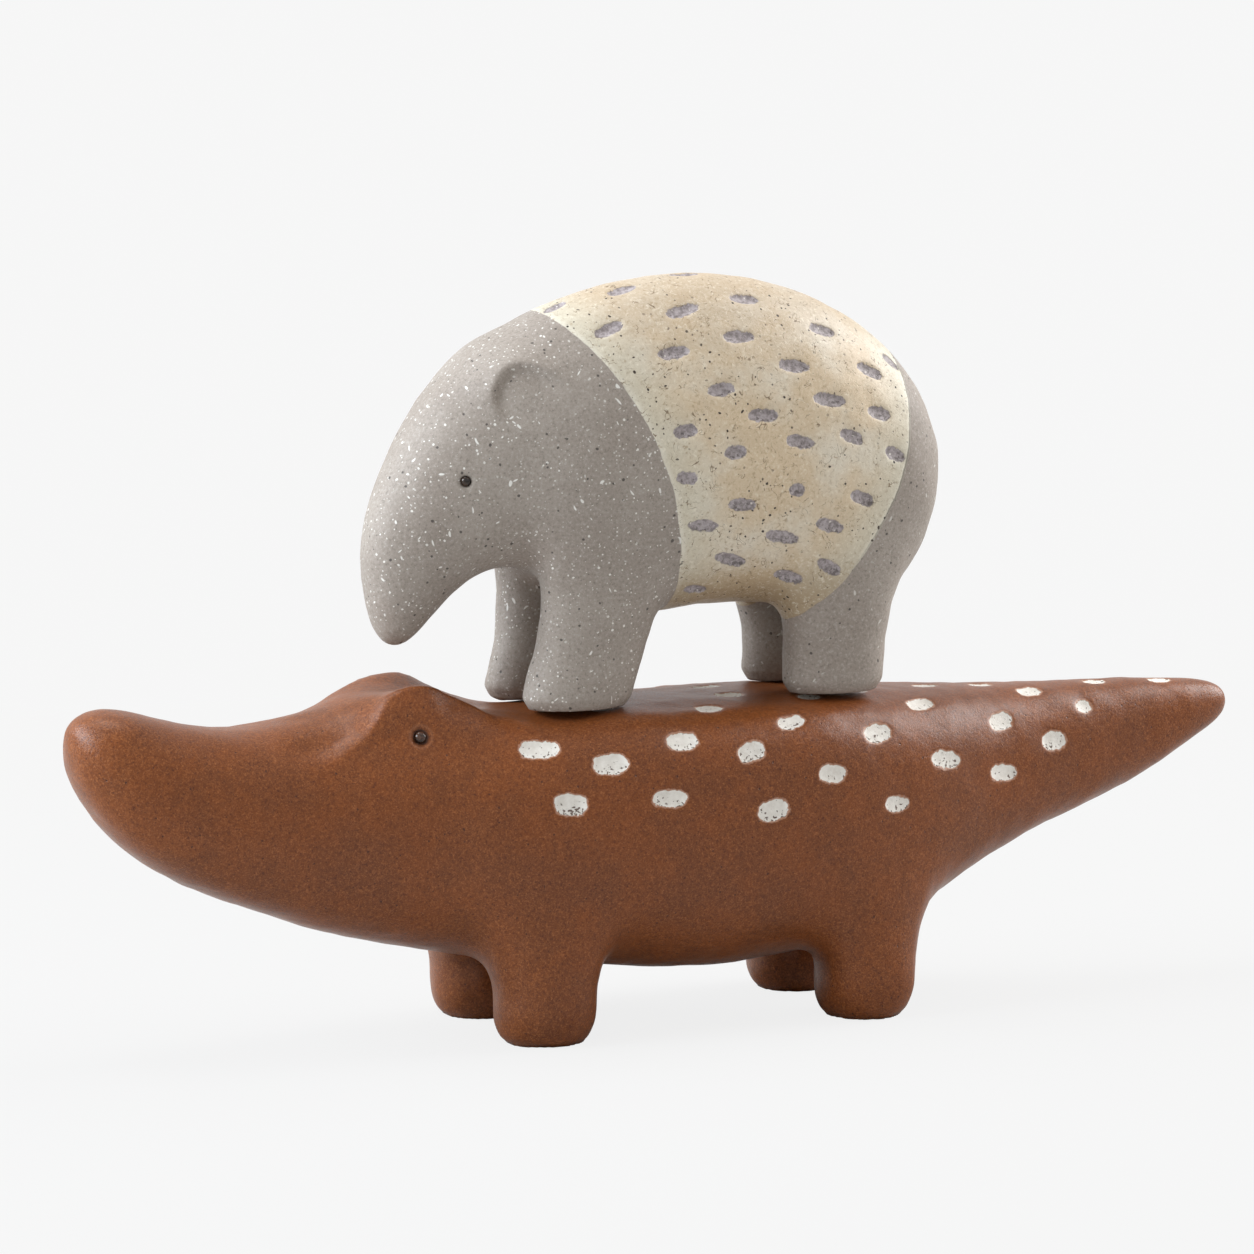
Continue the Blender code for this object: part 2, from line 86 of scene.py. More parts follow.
camera_data = bpy.data.cameras.new("long_lens")
camera_data.sensor_width = SENSOR_WIDTH
camera_data.lens = FOCAL_LENGTH
camera_data.clip_start = NEAREST
camera_data.clip_end = FARTHEST
camera = new_object("camera", camera_data)
set_up(camera, CAMERA_PLACE, CAMERA_AIM)
bpy.context.scene.camera = camera
bpy.context.scene.view_settings.view_transform = "Standard"
print("camera is", round((CAMERA_AIM - CAMERA_PLACE).length, 3), "m from what it looks at")

# %% [markdown]
# ## A small kit for materials
#
# Every finish here is a graph of nodes that works in millimetres on the piece's own Object coordinates, so a
# speckle can be given its real size. A few short helpers keep those graphs readable: one adds a node and
# connects it, and the others name the steps a painter would think in, such as mixing one colour over another.

# %% Helpers for node graphs
def add_node(tree, kind, inputs=(), **settings):
    """Adds a node, sets it up, and fills or connects its inputs."""
    node = tree.nodes.new("ShaderNode" + kind)
    for name, value in settings.items():
        setattr(node, name, value)
    for name, value in dict(inputs).items():
        if isinstance(value, bpy.types.NodeSocket):
            tree.links.new(value, node.inputs[name])
        else:
            node.inputs[name].default_value = value
    return node


def calc(tree, operation, first, second=0.0, third=0.0):
    """One step of arithmetic on numbers or sockets."""
    values = {0: first, 1: second, 2: third}
    return add_node(tree, "Math", values, operation=operation).outputs[0]


def between(tree, value, start, end, low=0.0, high=1.0):
    """Goes softly from low to high while value goes from start to end."""
    inputs = {"Value": value, "From Min": start, "From Max": end, "To Min": low, "To Max": high}
    return add_node(tree, "MapRange", inputs, interpolation_type="SMOOTHSTEP").outputs[0]


def paint(tree, amount, under, over):
    """Lays one colour over another, as thickly as amount says."""
    mix = add_node(tree, "Mix", data_type="RGBA")
    for index, value in ((0, amount), (6, under), (7, over)):
        if isinstance(value, bpy.types.NodeSocket):
            tree.links.new(value, mix.inputs[index])
        elif index:
            mix.inputs[index].default_value = (*value, 1)
        else:
            mix.inputs[index].default_value = value
    return mix.outputs[2]


def clouds(tree, place, size, detail=2.0, roughness=0.5, distortion=0.0):
    """Soft random values round 0.5, with features of that size in millimetres."""
    inputs = {"Vector": place, "Scale": 1.0 / size, "Detail": detail, "Roughness": roughness,
              "Distortion": distortion}
    return add_node(tree, "TexNoise", inputs).outputs["Fac"]


def new_finish(name):
    """A new material: its tree, its shader, and the place on the piece in millimetres."""
    material = bpy.data.materials.new(name)
    material.use_nodes = True
    tree = material.node_tree
    shader = tree.nodes["Principled BSDF"]
    place = add_node(tree, "TexCoord").outputs["Object"]
    scaled = add_node(tree, "Mapping", {"Vector": place, "Scale": (1 / MM, 1 / MM, 1 / MM)})
    return material, tree, shader, scaled.outputs[0]


def raised(tree, shader, layers, strength):
    """Adds up layers, each (where, how high in millimetres), and turns them into relief on the shader."""
    height = 0.0
    for where, millimetres in layers:
        height = calc(tree, "MULTIPLY_ADD", where, millimetres, height)
    bump = add_node(tree, "Bump", {"Height": height, "Distance": MM, "Strength": strength})
    tree.links.new(bump.outputs[0], shader.inputs["Normal"])


# %% [markdown]
# ## Floor and background
#
# A product picture like this has a plain pale ground with only a breath of shadow under the feet. The floor is
# a big sheet. The camera sees it mostly as an even pale tone, with some of the real shaded floor mixed in near
# the object, so that the contact shadow stays. Away from the object the even tone takes over, and the world
# behind has the same tone, so that no horizon shows. Every other ray sees a plain matt floor.

# %% Make the floor
PALE = 0.925  # the background's tone, where 1 is white
MATT = (0.52, 0.52, 0.515)  # the floor itself
FLOOR_SIZE = 30.0  # in metres
BLEND_FROM, BLEND_TO = 0.16, 0.55  # metres from the middle, over which the even tone takes over
LEAST_EVEN = 0.90  # its share nearer than that

bpy.ops.object.select_all(action="DESELECT")
bpy.ops.mesh.primitive_plane_add(size=FLOOR_SIZE)
floor = bpy.context.object
floor.name = "floor"

floor_finish = bpy.data.materials.new("pale_ground")
floor_finish.use_nodes = True
tree = floor_finish.node_tree
tree.nodes.remove(tree.nodes["Principled BSDF"])
matt = add_node(tree, "BsdfDiffuse", {"Color": (*MATT, 1)}).outputs[0]
even = add_node(tree, "Emission", {"Color": (PALE, PALE, PALE, 1), "Strength": 1.0}).outputs[0]
spot = add_node(tree, "TexCoord").outputs["Object"]
away = add_node(tree, "VectorMath", {0: spot}, operation="LENGTH").outputs["Value"]
evenness = between(tree, away, BLEND_FROM, BLEND_TO, LEAST_EVEN, 1.0)
seen = add_node(tree, "LightPath").outputs["Is Camera Ray"]
amount = calc(tree, "MULTIPLY", seen, evenness)
ground = add_node(tree, "MixShader", {0: amount, 1: matt, 2: even}).outputs[0]
tree.links.new(ground, tree.nodes["Material Output"].inputs["Surface"])
floor.data.materials.append(floor_finish)
print("floor is", tuple(round(side, 2) for side in floor.dimensions), "m")

# %% [markdown]
# ## Light
#
# The light in the picture comes in from the sides, most of it from the left and a little from behind, and the
# flanks that face the camera are left to a dimmer pale room. That is what models these plain round forms. A
# smaller lamp above puts the shine on the backs and brows. Large lamps make soft edges to the shadows, and the
# world fills what they leave dark. The lamps on the left are a little cooler than the room, as a window is.

# %% Set the lamps and the room
FILL = 0.52  # how strongly the room lights what the lamps leave dark
COOL = (0.92, 1.00, 1.08)
PLAIN = (1.00, 1.00, 1.00)
WARM = (1.00, 0.96, 0.91)
LAMP_AIM = Vector((0, 0, 0.10))
LAMPS = (
    # name, place, size, watts, tint
    ("left", (-1.25, 0.00, 0.75), 0.70, 17.0, COOL),
    ("left_behind", (-1.15, 0.70, 0.80), 0.70, 13.0, COOL),
    ("right", (1.10, 0.05, 0.70), 0.80, 17.5, PLAIN),
    ("above", (-0.25, 0.20, 1.20), 0.45, 4.2, PLAIN),
)

for name, place, size, watts, tint in LAMPS:
    lamp_data = bpy.data.lights.new(name, "AREA")
    lamp_data.color = tint
    lamp_data.size = size
    lamp_data.energy = watts
    set_up(new_object(name, lamp_data), Vector(place), LAMP_AIM)

room = bpy.data.worlds.new("pale_room")
bpy.context.scene.world = room
room.use_nodes = True
tree = room.node_tree
path = add_node(tree, "LightPath").outputs
mirrored = calc(tree, "MAXIMUM", path["Is Glossy Ray"], path["Is Transmission Ray"])
shown = calc(tree, "MAXIMUM", path["Is Camera Ray"], mirrored)
fill = add_node(tree, "Background", {"Color": (*WARM, 1), "Strength": FILL}).outputs[0]
backdrop = add_node(tree, "Background", {"Color": (PALE, PALE, PALE, 1), "Strength": 1.0}).outputs[0]
both = add_node(tree, "MixShader", {0: shown, 1: fill, 2: backdrop}).outputs[0]
tree.links.new(both, tree.nodes["World Output"].inputs["Surface"])
print("lamps:", [name for name, *_ in LAMPS])

# %% [markdown]
# ## Reading and measuring a skin
#
# The forms below are worked out for all points of a skin at once. So a few helpers read the points as an array
# in millimetres, let a value come in softly, and measure how far each point lies from a line. The animals are
# nearly alike on both sides, so a line is given once, on the far side, and the near side is mirrored onto it.

# %% Helpers for points
FAR_OFF = 99.0  # millimetres, farther than anything that is measured
BROW = ((-94, 16.7, 77.5), (-89, 14.8, 83.0), (-83.5, 13.6, 87.5), (-79, 13.4, 89.8), (-74.5, 14.0, 90.6),
        (-69, 14.8, 89.8), (-63, 15.4, 87.4), (-58, 16.4, 84.6))  # the crest over the far eye, in millimetres


def rows(piece, name):
    """The place or the normal of each point, as an array of rows."""
    flat = np.empty(len(piece.data.vertices) * 3)
    piece.data.vertices.foreach_get(name, flat)
    return flat.reshape(-1, 3)


def points_of(piece):
    """The place of each point in millimetres."""
    return rows(piece, "co") / MM


def ease(values, start, end):
    """Goes softly from 0 where values are start to 1 where they are end."""
    share = np.clip((values - start) / (end - start), 0, 1)
    return share * share * (3 - 2 * share)


def one_side(points):
    """The same places with those of the near side mirrored to the far side."""
    return points * (1, 0, 1) + np.abs(points) * (0, 1, 0)


def from_line(points, line):
    """The way to each point from the nearest place on a line, which stands for both sides of the head."""
    points = one_side(points)
    ways = np.full(points.shape, FAR_OFF)
    for start, end in zip(np.array(line), np.array(line)[1:]):
        along = end - start
        share = np.clip((points - start) @ along / (along @ along), 0, 1)
        way = points - start - share[:, None] * along
        nearer = np.linalg.norm(way, axis=1) < np.linalg.norm(ways, axis=1)
        ways[nearer] = way[nearer]
    return ways


def from_brow(points):
    """How far each point lies from the crest of the brow on its side."""
    return np.linalg.norm(from_line(points, BROW), axis=1)


print("each brow is", BROW[-1][0] - BROW[0][0], "mm long")

# %% [markdown]
# ## The two castings
#
# Each animal was modelled in clay and cast, so its skin is smooth with the faint unevenness of a hand. The
# measured solids have the right form in flat facets. A voxel remesh lays an even fine grid over a copy, a
# Smooth modifier melts the facets, and Displace modifiers with cloud textures add shallow lumps. A vertex
# group holds the smoothing back where the form is crisp: at the tapir's soles and along the crocodile's brows.

# %% Make the smooth castings
SAME_PLACE = 0.01  # millimetres between points that are one
SHRUNK = 0.15  # millimetres that the smoothing takes off and a Displace gives back


def pick(piece):
    """Selects only this piece."""
    bpy.ops.object.select_all(action="DESELECT")
    bpy.context.view_layer.objects.active = piece
    piece.select_set(True)


def finished(piece, modifiers):
    """Applies modifiers, given as (kind, settings), one after another."""
    pick(piece)
    for kind, settings in modifiers:
        modifier = piece.modifiers.new(kind.lower(), kind)
        for name, value in settings.items():
            setattr(modifier, name, value)
        bpy.ops.object.modifier_apply(modifier=modifier.name)


def merged(piece, distance):
    """Joins points that lie closer together than that distance in millimetres."""
    pick(piece)
    bpy.ops.object.mode_set(mode="EDIT")
    bpy.ops.mesh.select_all(action="SELECT")
    bpy.ops.mesh.remove_doubles(threshold=distance * MM)
    bpy.ops.object.mode_set(mode="OBJECT")


def lumps(name, size, strength):
    """Settings for a Displace with clouds of that size. It presses in more than it lifts out."""
    texture = bpy.data.textures.new(name, "CLOUDS")
    texture.noise_scale = size * MM
    texture.noise_depth = 1
    return {"texture": texture, "strength": strength * MM, "mid_level": 0.6}


def smooth_casting(node, name, grid, passes, softness):
    """A fine smooth copy of a measured node. Softness gives each point's share of the smoothing."""
    piece = new_object(name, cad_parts[node].data.copy())
    piece.data.materials.clear()
    merged(piece, SAME_PLACE)
    finished(piece, [("REMESH", {"mode": "VOXEL", "voxel_size": grid * MM})])
    group = piece.vertex_groups.new(name="soft")
    for index, share in enumerate(softness(points_of(piece))):
        group.add([index], float(share), "REPLACE")
    finished(piece, [
        ("SMOOTH", {"factor": 0.5, "iterations": passes, "vertex_group": "soft"}),
        ("DISPLACE", {"strength": SHRUNK * MM, "mid_level": 0.0}),
        ("DISPLACE", lumps(name + "_swells", 20.0, 0.7)),
        ("DISPLACE", lumps(name + "_dents", 7.0, 0.35)),
    ])
    piece.vertex_groups.clear()
    bpy.ops.object.shade_smooth()
    return piece


def brows_stay(points):
    """Softens the crocodile less along its brows."""
    return 0.4 + 0.6 * ease(from_brow(points), 2.0, 7.0)


def soles_stay(points):
    """Softens the tapir hardly at all at its soles."""
    return 0.12 + 0.88 * ease(points[:, 2], 84.5, 90.0)


croc = smooth_casting("crocodile", "crocodile_body", 0.95, 34, brows_stay)
tapir = smooth_casting("tapir", "tapir_body", 0.80, 40, soles_stay)
for piece in (croc, tapir):
    print(piece.name, "has", sum(len(face.vertices) - 2 for face in piece.data.polygons), "triangles")

# %% [markdown]
# ## Ears and brows
#
# Two forms need more edge than the smooth skin has. The tapir's ear is a lobe drawn by its front edge: the cheek
# swells up to that edge, drops over it and runs on flush into the neck. The crocodile's brow has a crest that
# turns down in front of the eye, and the skin ahead of it falls away into a long hollow. Each form is a height
# for every point of the skin, worked out from its place, and the points move along their normals.

# %% Raise the ears and hollow the skin ahead of the brows
EAR_MIDDLE = np.array((-43.3, 159.4))  # x and z
EAR_HALF = (8.4, 11.0)  # half of its length and width
EAR_LEAN = math.radians(63)  # of its long axis, from the level
EAR_HEIGHT = 1.35
EAR_SWELL = 4.6  # how far outside its edge the cheek starts to rise
EAR_SQUARE = 2.6  # 2 would make it an ellipse
BROW_WIDTH = 2.0  # how far from its crest a brow fades away
CREASE = ((-78, 13.4, 89.5), (-81, 13.8, 88), (-82.4, 15.2, 85.8), (-85, 16.6, 82), (-88, 17.1, 78.4),
          (-92, 17.9, 75.5), (-96, 18.8, 73.2))  # from the far crest down in front of the far eye
AHEAD = (-0.78, 0, 0.62)  # across the crease, towards the snout
HOLLOW_LENGTH, HOLLOW_WIDTH, HOLLOW_DEPTH = 7.0, 6.5, 2.8


def lift(piece, heights):
    """Moves each point out along its normal by its own height in millimetres."""
    moved = points_of(piece) + rows(piece, "normal") * heights[:, None]
    piece.data.vertices.foreach_set("co", (moved * MM).ravel())
    piece.data.update()


def oval(u, v, half, square):
    """How far (u, v) lies outside an oval with those half sizes. A square of 2 makes it an ellipse."""
    u, v = np.abs(u) / half[0], np.abs(v) / half[1]
    size = np.maximum(u ** square + v ** square, 1e-4) ** (1 / square)
    slope = size ** (1 - square) * np.hypot(u ** (square - 1) / half[0], v ** (square - 1) / half[1])
    return np.maximum((size - 1) / np.maximum(slope, 1e-4), -min(half))


def mound(points, middle, width):
    """A soft round height of 1 at a place on either side, which fades away over that width."""
    return np.exp(-np.sum(((one_side(points) - middle) / width) ** 2, axis=1))


places = points_of(tapir)
flat = places[:, [0, 2]] - EAR_MIDDLE
up = flat @ (math.cos(EAR_LEAN), math.sin(EAR_LEAN))
back = flat @ (math.sin(EAR_LEAN), -math.cos(EAR_LEAN))
away = oval(up, back, EAR_HALF, EAR_SQUARE)
rise = np.exp(-(np.maximum(away, 0) / EAR_SWELL) ** 2)
drop = 1.35 * ease(away, 0.0, -1.9) - 0.35 * ease(away, -2.5, -8.0)
shown = ease(back, 6.0, -5.0) * ease(up, -9.5, -1.0)
ear = (rise - drop) * shown
lift(tapir, EAR_HEIGHT * ear)

# The valley between the brows is filled, and the near crest falls away behind its top.
places = points_of(croc)
crest = np.exp(-(from_brow(places) / BROW_WIDTH) ** 2)
far = ease(places[:, 1], -4.0, 4.0)
heights = crest * (0.3 - 0.9 * far) + 1.3 * mound(places, (-84, 0, 86.0), (8.0, 8.0, 6.0))
heights -= 1.5 * mound(places, (-56, 15.5, 84.0), 8.0) * (1 - far)
heights -= 1.6 * mound(places, (-65.5, 14.8, 88.6), (5.0, 8.0, 6.0)) * (1 - far)
way = from_line(places, CREASE)
ahead = np.maximum(way @ AHEAD, 0)
aside = np.sqrt(np.maximum(np.sum(way ** 2, axis=1) - ahead ** 2, 0))
hollow = ahead / HOLLOW_LENGTH * np.exp(1 - ahead / HOLLOW_LENGTH) * ahead ** 2 / (ahead ** 2 + 2.0)
hollow *= np.exp(-(aside / HOLLOW_WIDTH) ** 2)
hollow *= (1 - far * ease(places[:, 2], 76.0, 82.0)) * ease(places[:, 2], 71.0, 80.0)
lift(croc, heights - HOLLOW_DEPTH * hollow)
print("ear points:", int((np.abs(ear) > 0.1).sum()), " hollow points:", int((hollow > 0.1).sum()))

# %% [markdown]
# ## Where the marks go
#
# The spots and dashes were pressed into the clay before casting. Each has its place along the body and its
# angle round the body's middle line, where 0 is the flank and 90 is the crest. A ray from outside finds the
# skin there. The far side isn't seen, and takes the same marks, but for those on the crest.

# %% Find each mark's place on the skin
CROC_AXIS = 49.2  # height of the line that the angles are measured round
TAPIR_SOLES = 82.6  # the level that heights on the tapir are counted from
TAPIR_AXIS = TAPIR_SOLES + 46.0
CREST = 80  # the largest angle of a mark that the far side has too
OUTSIDE = 0.2  # metres from the middle line, where the rays start

DASH_WIDTH = 3.3
DASHES = (
    # x, angle, length, lean
    (4, 89, 7.8, 0), (-32, 87, 7.0, 15), (-15, 84, 8.2, 9), (15, 76, 8.2, -3), (-3, 73, 9.4, 12), (-23, 72, 8.2, 16),
    (35, 70, 7.9, -7), (56, 70, 6.5, -14), (10, 65, 8.6, 0), (-8, 63, 8.2, 3), (47, 61, 8.2, -19), (24, 58, 8.6, -7),
    (3, 52, 7.2, 5), (33, 49, 9.8, -8), (48, 47, 7.4, -11), (14, 44, 8.5, -2), (-7, 41, 6.5, 6), (39, 37, 7.2, -21),
    (24, 35, 8.2, -12), (6, 32, 5.9, 2), (52, 31, 6.7, -23), (-7, 23, 5.6, -4), (23, 15, 4.5, -8), (42, 9, 7.4, -22),
    (8, 9, 7.8, -5), (-2, -1, 7.7, -3), (33, -5, 8.3, -18), (20, -10, 9.8, -14), (7, -23, 9.3, -19),
    (34, -29, 7.6, -29), (24, -36, 7.7, -13), (0, -46, 6.8, -15),
)
SPOTS = (
    # x, angle, length, width, lean
    (-46, 45, 10.2, 4.7, -5), (-29, 35, 9.1, 5.0, 0), (-40, 21, 8.5, 5.2, -9), (-9, 41, 8.4, 4.9, 2),
    (-14, 20, 9.1, 4.2, -4), (9, 35, 7.6, 5.0, 14), (14, 12, 8.2, 5.1, 11), (3, 59, 7.0, 4.6, 5),
    (22, 46, 7.7, 3.8, 14), (33, 66, 6.5, 4.4, 10), (31, 25, 7.5, 4.3, -5), (46, 41, 8.3, 4.9, 16),
    (50, 11, 7.4, 3.8, -7), (63, 59, 8.5, 4.4, 20), (66, 31, 9.5, 4.3, -6), (86, 53, 7.4, 4.7, 17),
    (85, 26, 8.4, 4.1, -4), (99, 75, 7.0, 4.2, 10), (102, 46, 7.6, 4.6, -2), (113, 65, 4.8, 3.6, 10),
    (140, 86, 6.0, 3.4, 0), (72, 87, 6.5, 4.0, 0), (88, 88, 6.0, 4.0, 0), (121, 87, 6.0, 3.8, 0),
    (-24, 70, 8.0, 4.6, 0), (14, 78, 7.5, 4.5, 0), (49, 76, 7.0, 4.4, 0),
)


def skin_frame(piece, axis, x, angle, side):
    """The place on the skin at x and that angle: X runs along the body and Z points out of the skin."""
    turn = math.radians(angle)
    out = Vector((0, side * math.cos(turn), math.sin(turn)))
    start = Vector((x, 0, axis)) * MM
    _, place, normal, _ = piece.ray_cast(start + out * OUTSIDE, -out)
    along = (Vector((1, 0, 0)) - normal * normal.x).normalized()
    turned = Matrix((along, normal.cross(along), normal)).transposed().to_4x4()
    turned.translation = place
    return turned


def mark_frames(piece, axis, marks):
    """The frames of all marks on both sides, each with half of its length and width."""
    bpy.context.view_layer.update()
    found = []
    for x, angle, length, width, lean in marks:
        for side in (-1, 1):
            if side < 0 or angle <= CREST:
                turn = Matrix.Rotation(math.radians(-side * lean), 4, "Z")
                found.append((skin_frame(piece, axis, x, angle, side) @ turn, (length / 2, width / 2)))
    return found


spots = mark_frames(croc, CROC_AXIS, SPOTS)
dashes = mark_frames(tapir, TAPIR_AXIS, [(x, angle, length, DASH_WIDTH, lean) for x, angle, length, lean in DASHES])
print(len(spots), "spots and", len(dashes), "dashes")

# %% [markdown]
# ## Press the marks in
#
# Each point of the skin gets one number, its distance in millimetres to the outline of the nearest mark, less
# than zero inside. It is stored as an attribute called mark. The skin sinks where it is below zero, and the
# materials read the same number to change the colour there, so the paint always follows the hollow. A second
# number, low, says how far a point lies below the middle of its mark, as painted shade and pits gather on the
# lower lips.

# %% Measure the distance to the marks and sink the skin
MOST_AWAY = 6.0  # millimetres, the number that points far from any mark get
MARK_REACH = 5.0  # millimetres that a mark may lie above or below a point


def distance_to_marks(points, frames, square):
    """How far each point lies outside the nearest mark, and below that mark's middle, in millimetres."""
    nearest = np.full(len(points), MOST_AWAY)
    low = np.zeros(len(points))
    for turned, half in frames:
        local = (points - np.array(turned.translation) / MM) @ np.array(turned.to_3x3())
        close = np.flatnonzero(np.all(np.abs(local) < (2 * half[0], 2 * half[0], MARK_REACH), axis=1))
        away = oval(local[close, 0], local[close, 1], half, square)
        nearer = away < nearest[close]
        close, away = close[nearer], away[nearer]
        nearest[close] = away
        low[close] = turned.translation.z / MM - points[close, 2]
    return nearest, low


def keep_number(piece, name, values):
    """Stores one number for each point, for the materials to read."""
    attribute = piece.data.attributes.new(name, "FLOAT", "POINT")
    attribute.data.foreach_set("value", values.astype(np.float32))


for piece, frames, depth, square in ((croc, spots, 0.55, 2.5), (tapir, dashes, 0.50, 2.3)):
    away, low = distance_to_marks(points_of(piece), frames, square)
    keep_number(piece, "mark", away)
    keep_number(piece, "low", low)
    lift(piece, -depth * ease(away, 0.4, -0.9))
    print(piece.name, "has", int((away < 0).sum()), "points inside its marks")

# %% [markdown]
# ## Eyes
#
# An eye is a small glossy bead in a round hollow. The hollow is sunk into the skin as the marks are. The bead
# starts as a sphere, is cut through below its middle, drawn down into a short neck, and flattened a little.
# It is made once at a radius of one millimetre, and each copy is scaled and turned to its own place.

# %% Sink the sockets and set the beads
SOCKET_DEPTH = 0.9
BEAD_DOME = 0.85  # its height as a share of its radius
BEAD_SUNK = 0.70  # how deep it sits, as a share of its radius


def model_bead():
    """A domed bead of radius 1 mm on a short neck, round the world's centre."""
    bpy.ops.object.select_all(action="DESELECT")
    bpy.ops.mesh.primitive_uv_sphere_add(segments=40, ring_count=20, radius=MM)
    bead = bpy.context.object
    bpy.ops.object.mode_set(mode="EDIT")
    bpy.ops.mesh.select_all(action="SELECT")
    bpy.ops.mesh.bisect(plane_co=(0, 0, -0.35 * MM), plane_no=(0, 0, 1), use_fill=True, clear_inner=True)
    bpy.ops.mesh.extrude_region_move(TRANSFORM_OT_translate={"value": (0, 0, -0.8 * MM)})
    bpy.ops.transform.resize(value=(0.8, 0.8, 1.0))
    bpy.ops.mesh.select_all(action="SELECT")
    bpy.ops.mesh.normals_make_consistent(inside=False)
    bpy.ops.object.mode_set(mode="OBJECT")
    bpy.ops.object.shade_smooth()
    return bead


def set_eye(name, bead, turned, radius):
    """A copy of the bead in its socket, with its place in its mesh."""
    eye = new_object(name, bead.data.copy())
    sunk = Matrix.Translation((0, 0, -BEAD_SUNK * radius * MM))
    eye.data.transform(turned @ sunk @ Matrix.Diagonal((radius, radius, BEAD_DOME * radius, 1)))
    return eye


bead = model_bead()
eyes = {"crocodile": [], "tapir": []}
for piece, axis, place, socket, radius, animal in (
    # piece, middle line, (x, angle), radius of the socket, radius of the bead, animal
    (croc, CROC_AXIS, (-75.0, 57.0), 2.45, 1.60, "crocodile"),
    (tapir, TAPIR_AXIS, (-61.9, 36.5), 1.60, 1.30, "tapir"),
):
    bpy.context.view_layer.update()
    frames = [skin_frame(piece, axis, *place, side) for side in (-1, 1)]
    away, _ = distance_to_marks(points_of(piece), [(turned, (socket, socket)) for turned in frames], 2.0)
    keep_number(piece, "socket", away)
    lift(piece, -SOCKET_DEPTH * ease(away, 0.3, -0.6))
    for turned, side in zip(frames, ("near", "far")):
        eyes[animal].append(set_eye(f"{animal}_eye_{side}", bead, turned, radius))
bpy.data.objects.remove(bead)
print("eyes:", [eye.name for pair in eyes.values() for eye in pair])

# %% [markdown]
# ## Level soles and true size
#
# The crocodile stands on four soles that were ground level. Smoothing leaves them very slightly domed, so the
# points near the floor are laid flat on it. The tapir's near soles are level too towards their outer edge, and
# the back falls away under them, which makes the dark line there. The lumps may also have carried a casting a
# hair past its measured size, so each is drawn in by as much as it is over, about the middle of its width.

# %% Lay the soles on the floor and fit the size
GROUND_REACH = 0.45  # millimetres, below which a point belongs to the ground
NEAR_SIDE = -7.0  # the y where the tapir's near soles begin
OUTER_EDGE = -13.0  # and where they are level
SHORTEST = 0.05  # millimetres, the shortest edge that is kept

for piece, node in ((croc, "crocodile"), (tapir, "tapir")):
    points = points_of(piece)
    if piece == croc:
        low = points[:, 2] < GROUND_REACH
        points[low, 2] = 0.0
        print(int(low.sum()), "points lie on the floor")
    else:
        sole = TAPIR_SOLES - 1.1 + 0.9 * ease(points[:, 1], NEAR_SIDE, OUTER_EDGE)
        low = (points[:, 1] < NEAR_SIDE) & (points[:, 2] < sole)
        points[low, 2] = sole[low]
        print(int(low.sum()), "points lie on the near soles")
    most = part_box(node)[1][1] / MM
    over = max(np.abs(points[:, 1]).max() / most, 1.0)
    points[:, 1] /= over
    piece.data.vertices.foreach_set("co", (points * MM).ravel())
    piece.data.update()
    merged(piece, SHORTEST)
    print(piece.name, "was too wide by", round((over - 1) * 2 * most, 2), "mm")

# %% [markdown]
# ## Speckle, chips and ragged edges
#
# Both animals wear the same kinds of detail: numbers stored on their points, outlines that wander, scattered
# chips, thin curly lines, and a fine noise with a light and a dark tone. Each kind has a helper, and every size
# is in millimetres, so a chip that measures a third of a millimetre on the sculpture says so here.

# %% Helpers for the glazes
def attribute(tree, name):
    """Reads a number that is stored on the piece's points."""
    return add_node(tree, "Attribute", attribute_name=name).outputs["Fac"]


def ragged(tree, place, away, size, amount):
    """A distance whose outline wanders by up to amount millimetres, in features of that size."""
    wander = calc(tree, "SUBTRACT", clouds(tree, place, size, detail=3.0, roughness=0.6), 0.5)
    return calc(tree, "MULTIPLY_ADD", wander, 2 * amount, away)


def chips(tree, place, spacing, smallest, largest, stretch=(1, 1, 1), turn=(0, 0, 0), warp=0.5):
    """Scattered chips, about one for each cell of that spacing. The radii are shares of the spacing."""
    bent = add_node(tree, "TexNoise", {"Vector": place, "Scale": 0.6 / spacing, "Detail": 1.0}).outputs["Color"]
    bent = add_node(tree, "VectorMath", {0: bent, 1: (warp * spacing,) * 3}, operation="MULTIPLY").outputs[0]
    moved = add_node(tree, "VectorMath", {0: place, 1: bent}, operation="ADD").outputs[0]
    moved = add_node(tree, "VectorRotate", {"Vector": moved, "Rotation": turn},
                     rotation_type="EULER_XYZ").outputs[0]
    moved = add_node(tree, "Mapping", {"Vector": moved, "Scale": tuple(s / spacing for s in stretch)}).outputs[0]
    cells = add_node(tree, "TexVoronoi", {"Vector": moved, "Scale": 1.0, "Randomness": 1.0}).outputs
    luck = add_node(tree, "SeparateColor", {"Color": cells["Color"]}).outputs["Red"]
    radius = between(tree, luck, 0.0, 1.0, smallest, largest)
    edge = calc(tree, "SUBTRACT", radius, cells["Distance"])
    return between(tree, edge, 0.0, 0.06)


def thin_lines(tree, place, size, width):
    """Short curly lines, where a cloudy value passes its middle."""
    value = clouds(tree, place, size, detail=2.0, distortion=1.5)
    return between(tree, calc(tree, "ABSOLUTE", calc(tree, "SUBTRACT", value, 0.5)), width, width / 4)


def two_tones(tree, noise, colour, tones, highs, lows):
    """Paints the light tone where a noise is high and the dark one where it is low.

    Highs and lows say where their tone starts, where it is full and how thick it gets.
    """
    for tone, (start, full, most) in zip(tones, (highs, lows)):
        colour = paint(tree, between(tree, noise, start, full, 0.0, most), colour, tone)
    return colour


